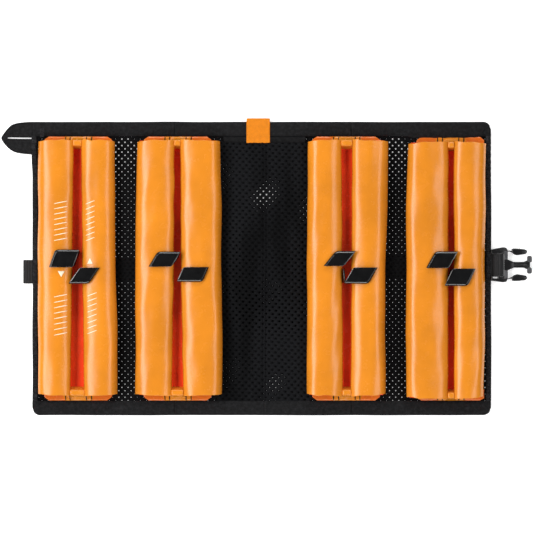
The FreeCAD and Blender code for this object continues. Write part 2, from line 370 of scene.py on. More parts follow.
def coated_orange(name, tone):
    """Shiny coated nylon: fine weave under the coating and slow tone changes."""
    n = Nodes(name)
    cloud = n.noise(38, 3)
    colour = n.tones(cloud, (0.30, shade(tone, 0.90)), (0.50, tone), (0.72, shade(tone, 1.10)))
    weave = n.math("MULTIPLY", n.ribs(0.55, "X"), n.ribs(0.55, "Y"))
    normal = n.bump(n.noise(9, 2, 0.5, (1, 0.35, 1)), 0.06, n.bump(weave, 0.004))
    rough = n.spread(n.noise(6, 4), 0.23, 0.29)
    return n.finish(colour, rough, normal, Specular_IOR_Level=0.45)


def woven_orange():
    n = Nodes("orange_label")
    weave = n.math("MULTIPLY", n.ribs(0.7, "X"), n.ribs(0.5, "Y"))
    colour = n.tones(
        n.math("ADD", n.math("MULTIPLY", weave, 0.5), n.math("MULTIPLY", n.noise(3), 0.5)),
        (0.15, shade(LABEL_ORANGE, 0.72)),
        (0.55, LABEL_ORANGE),
    )
    normal = n.bump(weave, 0.10)
    rough = n.spread(n.noise(1.5), 0.62, 0.80)
    return n.finish(colour, rough, normal, Specular_IOR_Level=0.15)


def knit_mesh(name, tone):
    """Black knitted yarn: fine loops, with a dull sheen, and broad bands along its length painted
    lighter and darker as sheen and shade.
    """
    n = Nodes(name)
    loops = n.math("MAXIMUM", n.ribs(0.45, "X", 0.55, 1.5), n.ribs(0.45, "X", -0.55, 1.5))
    # Painted sheen and shade: soft bands, long along Y, that brighten and darken the yarn's colour.
    painted_sheen_bands = n.spread(n.noise(30, 2, 0.5, stretch=(1, 0.16, 1)), 0.30, 1.45, 0.38, 0.60)
    colour = n.tones(
        n.math("MULTIPLY", n.math("MULTIPLY", loops, n.noise(1.6)), painted_sheen_bands),
        (0.04, shade(tone, 0.40)),
        (0.55, shade(tone, 1.9)),
    )
    normal = n.bump(loops, 0.06)
    rough = n.spread(n.noise(2.2), 0.50, 0.72)
    return n.finish(colour, rough, normal, Specular_IOR_Level=0.045, Sheen_Weight=0.004,
                    Sheen_Roughness=0.4, Sheen_Tint=(0.75, 0.78, 0.85, 1))


def binding_tape(name, tone, ribbed=False):
    """Dark grosgrain tape, with a rib every 1.9 mm of its length where ribbed."""
    n = Nodes(name)
    weave = n.math("MULTIPLY", n.ribs(0.8, "X", 0, 0.8), n.ribs(0.8, "Y", 0, 0.8))
    grain = n.noise(3.4, 4, 0.75)
    mix = n.math("ADD", n.math("MULTIPLY", weave, 0.35), n.math("MULTIPLY", grain, 0.75))
    colour = n.tones(mix, (0.36, shade(tone, 0.25)), (0.50, tone), (0.68, shade(tone, 3.4)))
    normal = n.bump(grain, 0.16, n.bump(weave, 0.10))
    if ribbed:
        normal = n.bump(n.ribs(1.9, "Y", 0, 0.5), 0.55, normal)
    rough = n.spread(n.noise(4), 0.55, 0.75)
    return n.finish(colour, rough, normal, Specular_IOR_Level=0.12, Sheen_Weight=0.015,
                    Sheen_Roughness=0.4, Sheen_Tint=(0.8, 0.82, 0.9, 1))


def webbing(name):
    """Flat webbing with a rib across every 1.7 mm."""
    n = Nodes(name)
    rows, cross = n.ribs(1.7, "X", 0, 0.4), n.ribs(1.1, "Y", 0, 0.6)
    height = n.math("ADD", rows, n.math("MULTIPLY", cross, 0.4))
    mottled = n.math("MULTIPLY", height, n.noise(2.5))
    colour = n.tones(mottled, (0.10, shade(WEB_BLACK, 0.5)), (0.75, shade(WEB_BLACK, 2.2)))
    rough = n.spread(n.noise(1.2), 0.48, 0.70)
    return n.finish(colour, rough, n.bump(height, 0.35), Specular_IOR_Level=0.30,
                    Sheen_Weight=0.03, Sheen_Roughness=0.4)


def moulded(name, rough_low, rough_high, tone, shine, depth=0.02):
    """Moulded plastic with a fine spark-eroded grain and slightly rubbed patches."""
    n = Nodes(name)
    colour = n.tones(n.noise(14, 3), (0.35, shade(tone, 0.8)), (0.7, shade(tone, 1.35)))
    normal = n.bump(n.noise(0.5, 2, 0.6), depth)
    rough = n.spread(n.noise(7, 4), rough_low, rough_high)
    return n.finish(colour, rough, normal, Specular_IOR_Level=shine)


def thread(name, tone):
    n = Nodes(name)
    twist = n.ribs(0.35, "DIAGONAL")
    colour = n.tones(twist, (0.2, shade(tone, 0.6)), (0.8, shade(tone, 1.5)))
    rough = n.spread(n.noise(1.0), 0.60, 0.80)
    return n.finish(colour, rough, n.bump(twist, 0.06), Specular_IOR_Level=0.15)


def ink(name, tone):
    n = Nodes(name)
    colour = n.tones(n.noise(1.2, 3), (0.30, shade(tone, 0.88)), (0.62, tone))
    rough = n.spread(n.noise(2.0), 0.42, 0.60)
    return n.finish(colour, rough, n.bump(n.noise(0.6), 0.01))


SKINS = {
    "orange": coated_orange("orange_coated_fabric", ORANGE),
    "painted_slot_shade": coated_orange("sleeve_painted_slot_shade", PAINTED_SLOT_SHADE),
    # Darker orange for the tongues where they lie inside the tubes: painted shade.
    "shaded": coated_orange("sleeve_ends_painted_shade", (0.68, 0.148, 0.0125)),
    "label": woven_orange(),
    "mesh": knit_mesh("mesh_fabric", MESH_BLACK),
    "pocket_mesh": knit_mesh("pocket_mesh", POCKET_BLACK),
    "tape": binding_tape("binding_tape", TAPE_GREY),
    "side_tape": binding_tape("side_binding_tape", shade(TAPE_GREY, 2.35), ribbed=True),
    "hem": binding_tape("hem_tape", HEM_BLACK),
    "web": webbing("webbing"),
    "leaf": moulded("retainer_plastic", 0.11, 0.18, shade(PLASTIC_BLACK, 0.7), 0.85, depth=0.008),
    "buckle": moulded("buckle_plastic", 0.18, 0.28, PLASTIC_BLACK, 0.7),
    # Plastic ten times lighter, for the cross bar and the round lobes: a painted highlight.
    "buckle_painted_highlight": moulded("buckle_plastic_painted_highlight", 0.28, 0.40, shade(PLASTIC_BLACK, 10.0), 0.5),
    "thread": thread("black_thread", THREAD_BLACK),
    "grey_thread": thread("grey_thread", (0.040, 0.040, 0.043)),
    "orange_thread": thread("orange_thread", shade(ORANGE, 0.8)),
    "ink": ink("cream_print", INK_CREAM),
}


# ---- the case's own sizes
PANELS = ("left_door", "left_inner", "right_inner", "right_door")
CASE_LEFT = cad_box("left_side_binding")[0][0]
CASE_RIGHT = cad_box("right_side_binding")[1][0]
CASE_BOTTOM = cad_box("spine_bottom_binding")[0][1]
CASE_TOP = cad_box("spine_top_binding")[1][1]
TAPE_LOW_Y = cad_box("spine_bottom_binding")[1][1]
TAPE_HIGH_Y = cad_box("spine_top_binding")[0][1]
MESH_LOW, MESH_HIGH = (corner[2] for corner in cad_box("left_inner_backing"))
SPINE_LEFT, SPINE_RIGHT = (corner[0] for corner in cad_box("spine_backing"))

# The fabric that runs across the folds is cut into four pieces, each across one fold
CUTS = (CASE_LEFT, -95.3, -2.1, 88.5, CASE_RIGHT)
OWNERS = (("left_door", "left_inner"), ("spine",), ("right_inner",), ("right_door",))


def across(piece):
    """Bake the piece's placement into its mesh; it is not bent."""
    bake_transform(piece)


def name_of(k, what):
    return ("left", "spine_left", "spine_right", "right")[k] + "_" + what


# ---- perforated backing
HOLE_PITCH, ROW_PITCH = 6.4, 3.4
BACKING_THICK, POCKET_THICK = 0.85, 0.6
RIM_SHARE = 0.26  # half thickness at the rim of a hole, as a share of the fabric's thickness
AROUND_HOLE = ((1, 0), (1, 1), (0, 1), (-1, 1), (-1, 0), (-1, -1), (0, -1), (1, -1))


def perforated(x0, x1, y0, y1, place, thick, radius, keep=None):
    """Staggered holes in fabric, each eight-sided and in a cell of its own.

    place gives x, y, z of the middle of the fabric, and radius the size of the hole at x, y.
    keep, where given, is the region in x and y that the placed cells are cut to.
    """
    r0, r1 = math.ceil(y0 / ROW_PITCH), math.floor(y1 / ROW_PITCH)
    lattice, corners, cells = {}, [], []
    for r in range(r0, r1 + 1):
        shift = HOLE_PITCH / 2 * (r % 2)
        c0 = math.ceil((x0 - shift) / HOLE_PITCH)
        c1 = math.ceil((x1 - shift) / HOLE_PITCH) - 1
        for c in range(c0, c1 + 1):
            i0, j0 = 2 * c + r % 2, 2 * r
            if keep:
                at = place(np.array([i0 * HOLE_PITCH / 2]), np.array([j0 * ROW_PITCH / 2]))[0]
                if not (keep[0] < at[0] < keep[1] and keep[2] < at[1] < keep[3]):
                    continue
            ring = []
            for di, dj in AROUND_HOLE:
                key = (i0 + di, j0 + dj)
                if key not in lattice:
                    lattice[key] = len(corners)
                    corners.append((key[0] * HOLE_PITCH / 2, key[1] * ROW_PITCH / 2))
                ring.append(lattice[key])
            cells.append((i0 * HOLE_PITCH / 2, j0 * ROW_PITCH / 2, ring))
    n = len(corners)
    angles = np.arange(8) * TAU / 8
    centres = np.array([cell[:2] for cell in cells])
    holes = np.broadcast_to(radius(centres[:, 0], centres[:, 1]), len(centres))
    spokes = np.column_stack([np.cos(angles), np.sin(angles)])
    rings = (centres[:, None] + holes[:, None, None] * spokes).reshape(-1, 2)
    flat = np.vstack([corners, rings])
    middle = place(flat[:, 0], flat[:, 1])
    rise = np.zeros((len(flat), 3))
    rise[:n, 2], rise[n:, 2] = thick / 2, thick * RIM_SHARE
    points = np.vstack([middle + rise, middle - rise])
    total = len(flat)
    faces, edges = [], {}
    for k, (_, _, ring) in enumerate(cells):
        start = n + 8 * k
        for a in range(8):
            b = (a + 1) % 8
            outer_a, outer_b, inner_a, inner_b = ring[a], ring[b], start + a, start + b
            faces.append((outer_a, outer_b, inner_b, inner_a))
            faces.append(tuple(total + i for i in (inner_a, inner_b, outer_b, outer_a)))
            faces.append((inner_a, inner_b, inner_b + total, inner_a + total))
            key = (min(outer_a, outer_b), max(outer_a, outer_b))
            edges[key] = None if key in edges else (outer_a, outer_b)
    rim = [(b, a, a + total, b + total) for a, b in filter(None, edges.values())]
    return points, faces + rim, [True] * len(faces) + [False] * len(rim)


TENT_RISE = 7.0


def tent(x, y):
    """Rise of the spine's fabric over the buckle half that is sewn behind it."""
    across_x = smooth_step((42.0 - np.abs(x)) / 25.0)
    return TENT_RISE * across_x * smooth_step((66.0 - np.abs(y)) / 52.0)


SLEEVE_SPANS = [[corner[0] for corner in cad_box(f"{panel}_sleeves")] for panel in PANELS]


def backing_holes(x, y):
    """The cloth is pulled open near the top binding and over a few patches of the spine."""
    beside = smooth_step((np.abs(x + 2.0) - 42.0) / 5.0)
    top = 0.42 * smooth_step((y - 70.0) / 55.0) + 0.2 * smooth_step((-100.0 - y) / 30.0)

    def patch(middle_x, middle_y, wide, tall):
        return np.exp(-(((x - middle_x) / wide) ** 2) - ((y - middle_y) / tall) ** 2)

    open_patches = 0.74 * patch(-3, 74, 15, 11) + 0.34 * patch(32, 62, 14, 16)
    open_patches += 0.34 * patch(8, -121, 9, 9)
    wide = 0.10 + beside * (0.28 + top) + (1 - beside) * open_patches
    for sleeve in SLEEVE_SPANS:
        over = (x > sleeve[0] - 4.0) & (x < sleeve[1] + 1.0) & (np.abs(y) > 127.0)
        wide = np.where(over, 0.25, wide)
    return wide


def backing_place(x, y):
    z = (MESH_LOW + MESH_HIGH) / 2 + tent(x, y) + 0.12 * waves(3, x, y, 26, 40)
    return np.column_stack([x, y, z])


def pocket_place(x, y):
    """The pocket's mesh is a little coarser and askew, so it beats against the backing."""
    lean = x - 8.0 * (76.0 - y) / 195.0
    shift_x = 0.070 * lean + 0.20 * waves(5, x, y, 40, 60)
    shift_y = 0.0697 * (y - 76.0) - 0.062 * x + 0.20 * waves(9, x, y, 50, 70)
    z = 3.15 + tent(x, y) + 0.10 * waves(7, x, y, 22, 50)
    return np.column_stack([x + shift_x, y + shift_y, z])


def build_backing():
    inside_tape = 4.0
    for k in range(4):
        x0, x1 = max(CUTS[k], CASE_LEFT + 3.0), min(CUTS[k + 1], CASE_RIGHT - 2.5)
        y0, y1 = TAPE_LOW_Y - inside_tape, TAPE_HIGH_Y + inside_tape
        points, faces, smooth = perforated(
            x0, x1, y0, y1, backing_place, BACKING_THICK, backing_holes
        )
        piece = mesh_object(name_of(k, "backing"), points, faces, [SKINS["mesh"]], smooth)
        across(piece)
        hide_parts(*[f"{owner}_backing" for owner in OWNERS[k]])


POCKET_HOLE = 1.02
# Height of the hem's upper side at its lower edge, and so on to its upper edge
HEM_HEIGHTS = (3.1, 3.9, 4.25, 4.15, 3.9)
HEM_UNDERSIDE = 2.85


def build_pocket():
    """Second layer on the spine: a pocket open at the top under its hem."""
    hem_low, hem_high = (corner[1] for corner in cad_box("spine_pocket_hem"))
    y0, y1 = TAPE_LOW_Y - 2.0, hem_low + 2.0
    for k, left, right in ((1, SPINE_LEFT, CUTS[2]), (2, CUTS[2], SPINE_RIGHT)):
        # The mesh runs on under the sleeves, and only its outer ends are cut straight
        x0, x1 = (left - 7.0, right) if k == 1 else (left, right + 7.0)
        keep = (x0, 99, y0, y1) if k == 1 else (-99, x1, y0, y1)
        wide = (x0 - 12, x1) if k == 1 else (x0, x1 + 12)
        points, faces, smooth = perforated(
            *wide, y0 - 25, y1 + 25, pocket_place, POCKET_THICK, lambda x, y: POCKET_HOLE, keep
        )
        piece = mesh_object(name_of(k, "pocket"), points, faces, [SKINS["pocket_mesh"]], smooth)
        across(piece)
        if k == 1:
            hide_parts("spine_pocket")

        x0, x1 = left, right
        ys = np.array([hem_low, hem_low + 0.5, hem_low + 2.4, hem_high - 1.6, hem_high])
        rings = []
        for x in np.linspace(x0, x1, 40):
            top = [(x, y, z + 0.10 * waves(11, x, y, 9, 30)) for y, z in zip(ys, HEM_HEIGHTS)]
            rings.append(top + [(x, y, HEM_UNDERSIDE) for y in ys[::-1]])
        fold = Build()
        add_capped(fold, rings, flip=True)
        sewn = hem_low + 1.2
        seam(fold, (x0 + 0.5, sewn, 4.15), (x1 - 0.5, sewn, 4.15), 3.0, 2.0, 0.22)
        piece = fold.piece(name_of(k, "pocket_hem"), "hem", "thread")
        across(piece)
        if k == 1:
            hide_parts("spine_pocket_hem")


# ---- bindings
# Folded tape from its outer edge inwards: (depth, height) round the outside and back inside
TAPE_SECTION = np.array([
    (0.0, 2.05), (0.25, 1.15), (0.9, 0.45), (2.0, 0.12), (4.5, 0.08), (8.0, 0.12), (11.5, 0.30),
    (13.9, 0.62), (14.75, 1.05), (14.6, 1.42), (8.0, 1.45), (2.6, 1.40), (1.6, 2.05), (2.6, 2.72),
    (8.0, 2.85), (14.6, 2.90), (14.85, 3.20), (14.0, 3.62), (11.5, 3.82), (8.0, 3.92),
    (4.5, 3.98), (2.0, 3.90), (0.9, 3.60), (0.25, 2.95),
])
TAPE_RUN, SIDE_TAPE_RUN = 14.8, 5.5


def tape_sweep(build, path, inward, width, ripple, seed):
    """Folded tape along a path of outer-edge points, with unit vectors towards the inside."""
    d, z = TAPE_SECTION[:, 0] * (width / TAPE_RUN), TAPE_SECTION[:, 1]
    x = path[:, :1] + inward[:, :1] * d
    y = path[:, 1:] + inward[:, 1:] * d
    tall = z + ripple * waves(seed, x, y, 7, 7) * np.where(z > 2.0, 1.0, 0.35)
    add_capped(build, np.stack([x, y, tall], axis=2))


EDGE_STEP, CORNER_RADIUS = 1.6, 8.0


def edge_path(x0, x1, top):
    """Outer-edge points along the top or bottom, round all outer corners but the loop's."""
    edge_y, way = (CASE_TOP, -1.0) if top else (CASE_BOTTOM, 1.0)
    xs = np.linspace(x0, x1, max(int((x1 - x0) / EDGE_STEP), 2))
    ys = edge_y - way * (0.45 + 0.20 * waves(23 + top, xs, 0.0, 55, 9))
    for end, outward in ((CASE_RIGHT, 1),) if top else ((CASE_LEFT, -1), (CASE_RIGHT, 1)):
        into = np.clip((xs - end) * outward + CORNER_RADIUS, 0, CORNER_RADIUS)
        ys += way * (CORNER_RADIUS - np.sqrt(CORNER_RADIUS**2 - into**2))
    return np.column_stack([xs, ys])


def sew_row(build, x0, x1, y, z_top, z_low):
    """Stitches seen on both faces of a binding."""
    for z, radius in ((z_top, 0.17), (z_low, 0.24)):
        seam(build, (x0 + 0.8, y, z), (x1 - 0.8, y, z), 3.1, 2.1, radius)


def tape_dip(x):
    """The top binding reaches further down over the last panel."""
    return 2.0 * smooth_step((x - 144.0) / 9.0) * (1 - smooth_step((x - 205.0) / 24.0))


def build_edge_bindings():
    for top in (True, False):
        word = "top_binding" if top else "bottom_binding"
        inner_y = TAPE_HIGH_Y if top else TAPE_LOW_Y
        for k in range(4):
            x0, x1 = CUTS[k : k + 2]
            tape = Build()
            path = edge_path(x0, x1, top)
            path = path[::-1] if top else path
            edge = inner_y - (tape_dip(path[:, 0]) if top else 0.0)
            reach = np.abs(edge - path[:, 1]) / TAPE_RUN
            inward = np.column_stack([np.zeros(len(path)), reach * (-1 if top else 1)])
            tape_sweep(tape, path, inward, TAPE_RUN, 0.12, 21 if top else 22)
            sew_row(tape, x0, x1, inner_y + (2.0 if top else -2.0), 3.70, 0.48)
            if k == 0 and not top:
                stitches(tape, [(-237.6, -146.4, 3.9)], [(-233.3, -139.4, 3.85)], 0.30)
            if k == 3 and top:
                stitches(tape, [(224.6, 137.8, 3.85)], [(229.2, 146.8, 3.9)], 0.30, slot=1)
            piece = tape.piece(name_of(k, word), "tape", "thread")
            across(piece)
            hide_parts(*[f"{owner}_{word}" for owner in OWNERS[k]])


def build_side_bindings():
    for side, door in ((-1, "left_door"), (1, "right_door")):
        node = f"{door.split('_')[0]}_side_binding"
        edge_x = CASE_LEFT if side < 0 else CASE_RIGHT
        ys = np.arange(TAPE_LOW_Y - 0.6, TAPE_HIGH_Y + 0.6, 1.5)
        bulge = (0.30 if side > 0 else -0.10) + 0.22 * waves(31 + side, ys * 0, ys, 9, 60)
        if side < 0:
            bulge = bulge + 1.1 * smooth_step((ys - 92) / 22)
        path = np.column_stack([edge_x + side * bulge, ys])
        inward = np.column_stack([np.full(len(ys), -side), np.zeros(len(ys))])
        tape = Build()
        tape_sweep(tape, path if side < 0 else path[::-1], inward, SIDE_TAPE_RUN, 0.10, 33)
        piece = tape.piece(f"{node}_tape", "side_tape")
        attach(piece, door)
        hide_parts(node)


# ---- webbing strap on the back
def strap_middle(x):
    return -1.9 + 0.0146 * x


RIB_PITCH = 1.7
STRAP_LOW, STRAP_HIGH, STRAP_HALF = 0.08, 1.38, 12.4
# Across the strap: share of its half width, and share of its thickness there
STRAP_SECTION = np.array([
    (-1, 0.0), (-0.97, 0.75), (-0.9, 1.0), (-0.6, 1.0), (-0.3, 1.0), (0, 1.0), (0.3, 1.0),
    (0.6, 1.0), (0.9, 1.0), (0.97, 0.75), (1, 0.0),
])


def strap_piece(x0, x1):
    """Flat webbing with rolled edges and a rib across at every RIB_PITCH."""
    shares, thick = STRAP_SECTION.T
    xs = np.arange(x0, x1 + 0.2, RIB_PITCH / 4)[:, None]
    xs[-1] = x1
    mid = (STRAP_LOW + STRAP_HIGH) / 2
    half = (STRAP_HIGH - STRAP_LOW) / 2 - 0.07 + 0.07 * np.cos(xs * TAU / RIB_PITCH)
    y, rise = strap_middle(xs) + shares * STRAP_HALF, half * thick
    top, bottom = (np.stack([xs + 0 * y, y, mid + way * rise], axis=2) for way in (1, -1))
    strap = Build()
    add_capped(strap, np.concatenate([top, bottom[:, -2:0:-1]], axis=1), flip=True)
    return strap


def build_straps():
    socket = cad_box("buckle_female_socket")
    spans = (
        (cad_box("left_door_strap")[0][0], CUTS[1]),
        (CUTS[1], socket[0][0] - 1.0),
        (socket[1][0] + 0.3, CUTS[3]),
        (CUTS[3], cad_box("right_door_strap")[1][0]),
    )
    for k, (x0, x1) in enumerate(spans):
        strap = strap_piece(x0, x1)
        for edge in (-1, 1):
            y0, y1 = (strap_middle(x) + edge * 9.6 for x in (x0, x1))
            seam(strap, (x0 + 1, y0, 0.2), (x1 - 1, y1, 0.2), 3.4, 2.3, 0.2)
        piece = strap.piece(name_of(k, "strap"), "web", "thread")
        across(piece)
        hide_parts(*[f"{owner}_strap" for owner in OWNERS[k]])


# ---- orange sleeves
SLEEVE_LOW, SLEEVE_TOP = (corner[2] for corner in cad_box("left_inner_sleeves"))
SKIN = 0.7
# Slot centre, and the slot's width at the top end, the middle and the bottom end
SLOTS = {
    "left_door": (-196.0, (8.0, 10.5, 14.5)),
    "left_inner": (-92.3, (6.0, 7.4, 12.0)),
    "right_inner": (83.2, (11.0, 9.5, 8.0)),
    "right_door": (191.3, (5.6, 5.8, 6.2)),
}
# How far each panel's left and right tube draws in, from the bottom end to the top end
DRAW_IN = {
    "left_door": ((0.3, 0.1, 0.0, 0.1, 0.3), (-1.1, -1.3, 1.0, 1.5, 1.2)),
    "left_inner": ((-0.7, -0.4, -0.5, 0.0, 1.8), (-1.0, -1.7, -0.3, -1.0, 0.8)),
    "right_inner": ((-1.8, -1.3, -1.5, -1.0, -0.2), (1.9, 2.9, 2.2, 0.2, -1.1)),
    "right_door": ((-0.7, -2.3, -1.2, -1.7, 0.6), (3.4, 1.0, 2.0, 0.5, 0.4)),
}
# The tube's outer outline: share of its width from the slot's lip, and drop from the crown
TUBE_SHAPE = np.array([
    (0.00, -7.2), (0.03, -5.3), (0.09, -3.35), (0.19, -1.75), (0.33, -0.55), (0.50, 0.0),
    (0.65, -0.40), (0.78, -1.45), (0.88, -3.25), (0.95, -6.0), (0.99, -9.1), (1.0, -11.8),
    (0.985, -14.6), (0.93, -17.6), (0.85, -19.2), (0.74, -19.85), (0.60, -20.0), (0.35, -20.0),
])
HALF_POINTS = 52
TUBE_ROWS = 104
# The sheet's flat ends: where they start inside the tube, half width, and loss of it at the end
TONGUE_START, TONGUE_HALF, TONGUE_NARROWING = 8.5, 35.2, 4.9
TONGUE_THICK, TONGUE_ROWS, TONGUE_COLUMNS = 0.6, 22, 72
TUCKED_UNDER = 1.6  # how far they run on under the binding
TONGUE_STITCHES = (-13.5, -8.5, 8.8, 13.5)
SHADED_BEYOND = 15.5  # past this distance from the slot's middle they lie inside the tubes


class Sleeve:
    """One sheet rolled into two tubes, open along a slot between them."""

    def __init__(self, panel, seed):
        self.panel, self.seed = panel, seed
        self.left, self.right = (corner[0] for corner in cad_box(f"{panel}_sleeves"))
        self.slot_x, self.slot_wide = SLOTS[panel]
        shift = -2.0 if panel == "right_door" else 0.0
        self.low, self.high = -133.4 + shift * 1.5, 130.7 + shift
        self.middle, self.half = (self.low + self.high) / 2, (self.high - self.low) / 2

    def slot_half(self, y):
        top, middle, bottom = self.slot_wide
        return 0.5 * np.interp(y, [self.low, self.middle, self.high], [bottom, middle, top])

    def side(self, way, y):
        """Outer surface of one tube at y, from the lip to the middle of the base."""
        t = (y - self.middle) / self.half
        seed = self.seed + (0 if way < 0 else 50)
        wander = waves(seed, 0.0, y, 9, 70)
        frayed = 0.35 * waves(seed + 1, 0.0, y, 9, 34)
        lip = self.slot_x + way * (self.slot_half(y) + frayed)
        reach = self.right if way > 0 else self.left
        drawn = np.interp(t, np.linspace(-1, 1, 5), DRAW_IN[self.panel][0 if way < 0 else 1])
        outer = reach - way * (drawn + 0.35 + 0.30 * wander)
        sag = 0.35 * (1 + waves(seed + 2, 0.0, y, 9, 60))
        crown = SLEEVE_TOP - 0.25 - 1.1 * t * t - sag
        wide = abs(outer - lip)
        share, drop = TUBE_SHAPE[:, 0], TUBE_SHAPE[:, 1]
        lean = 0.035 * waves(seed + 3, 0.0, y, 9, 90)
        bent = share + lean * np.sin(math.pi * share) * (drop > -6)
        fall = drop * (crown - SLEEVE_LOW) / 20.0
        points = np.column_stack([lip + way * bent * wide, crown + fall])
        curve = spline(np.vstack([points, (self.slot_x, SLEEVE_LOW)]), HALF_POINTS)
        along = np.linspace(0, 1, HALF_POINTS)
        ease = smooth_step((0.62 - along) / 0.2) * smooth_step(along / 0.05)
        wrinkle = 0.28 * waves(seed + 4, along * 110, y, 16, 52) * ease
        return curve - way * right_normals(curve) * wrinkle[:, None]

    def surface(self, x, y):
        """Height of the tubes' upper surface at x, y."""
        way = 1 if x > self.slot_x else -1
        curve = self.side(way, y)
        top = curve[: int(np.argmax(curve[:, 0] * way)) + 1]
        order = np.argsort(top[:, 0])
        return np.interp(x, top[order, 0], top[order, 1])

    def outline(self, y):
        """The whole outer outline from the right lip round the base to the left lip."""
        return np.vstack([self.side(1, y), self.side(-1, y)[-2::-1]])

    def build(self):
        sheet = Build()
        ys = np.concatenate([
            [self.low, self.low + 0.5, self.low + 1.2],
            np.linspace(self.low + 2.4, self.high - 2.4, TUBE_ROWS),
            [self.high - 1.2, self.high - 0.5, self.high],
        ])
        along = np.linspace(-1, 1, 2 * HALF_POINTS - 1)
        lip_share = 1 - np.abs(along)
        hem = 0.75 * np.exp(-((lip_share / 0.035) ** 2))
        pull = 1.3 * smooth_step((lip_share - 0.28) / 0.18) - 0.9 * np.exp(-(lip_share / 0.1)**2)
        rings = []
        for y in ys:
            outer = self.outline(y)
            inner = outer + right_normals(outer) * (SKIN + hem)[:, None]
            near_end = max(0.0, 1 - min(y - self.low, self.high - y) / 14.0)
            way = -1 if y < self.middle else 1
            ragged = 0.55 * waves(self.seed + 70 + way, along * 100, 0.0, 14, 9)
            shift = -way * near_end**2 * (pull * (lip_share < 0.55) + ragged)
            rings.append(np.vstack([
                np.column_stack([outer[:, 0], y + shift, outer[:, 1]]),
                np.column_stack([inner[:, 0], y + shift, inner[:, 1]])[::-1],
            ]))
        columns = 2 * len(along)
        # Inner faces take slot 2, the deep red of painted shade inside the slots.
        inside = [2 if len(along) <= c < columns - 1 else 0 for c in range(columns)]
        add_strip(sheet, rings, True, inside * (len(rings) - 1) + [0] * (columns - 2))
        for end in (-1, 1):
            self.tongue(sheet, end)
        return sheet

    def tongue(self, sheet, end):
        """The flat end of the sheet that runs under the binding, with its stitches."""
        edge, tape = (self.high, TAPE_HIGH_Y) if end > 0 else (self.low, TAPE_LOW_Y)
        start, stop = edge - TONGUE_START * end, tape + TUCKED_UNDER * end

        def height(x, y):
            """Pulled up to the lips in the slot, and flat on the backing elsewhere."""
            away = np.abs(x - self.slot_x) - self.slot_half(start)
            reach = (y - start) * end
            up = smooth_step(reach / 3.5) * (1 - smooth_step((reach - 8.0) / 3.5))
            raised = smooth_step((3.0 - away) / 3.0) * up
            under_tape = smooth_step((reach - (tape - start) * end) / TUCKED_UNDER + 1)
            ripple = 0.22 * waves(self.seed + 82, x, y, 9, 12) * (1 - under_tape)
            return 3.50 - 0.85 * under_tape + 13.2 * raised + ripple

        t = np.linspace(0, 1, TONGUE_ROWS)[:, None]
        wide = TONGUE_HALF - TONGUE_NARROWING * smooth_step((t - 0.62) / 0.3)
        sway = 0.5 * waves(self.seed + 81, 0.0, 10 * t, 9, 9)
        x = self.slot_x + np.linspace(-1, 1, TONGUE_COLUMNS) * wide + sway
        y = start + (stop - start) * t + 0 * x
        top = np.stack([x, y, height(x, y)], axis=2)
        rings = np.concatenate([top, top[:, ::-1] - [0, 0, TONGUE_THICK]], axis=1)
        # Past SHADED_BEYOND the tongue's top takes slot 3, the darker orange of painted shade.
        slots = [3 if far > SHADED_BEYOND else 0 for far in np.abs(x[0] - self.slot_x)]
        slots += [0] * TONGUE_COLUMNS
        add_capped(sheet, rings, end > 0, slots * (TONGUE_ROWS - 1) + [0, 0])
        for x in TONGUE_STITCHES:
            at = self.slot_x + x + 0.5 * waves(self.seed + 83, x, 0.0, 9, 9)
            ends = [(at + lean, y, height(np.array([at]), y)[0] + 0.15)
                    for lean, y in ((0.0, edge - 0.6 * end), (0.4, tape - 0.2 * end))]
            stitches(sheet, ends[:1], ends[1:], 0.50, slot=1)


SLEEVES = {panel: Sleeve(panel, 100 + 200 * k) for k, panel in enumerate(PANELS)}


def build_sleeves():
    for panel, sleeve in SLEEVES.items():
        piece = sleeve.build().piece(
            f"{panel}_sleeve_fabric", "orange", "thread", "painted_slot_shade", "shaded"
        )
        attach(piece, panel)
        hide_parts(f"{panel}_sleeves")
        outline = sleeve.outline(sleeve.middle)


# ---- prints on the first panel
TRIANGLE_STEPS = 6


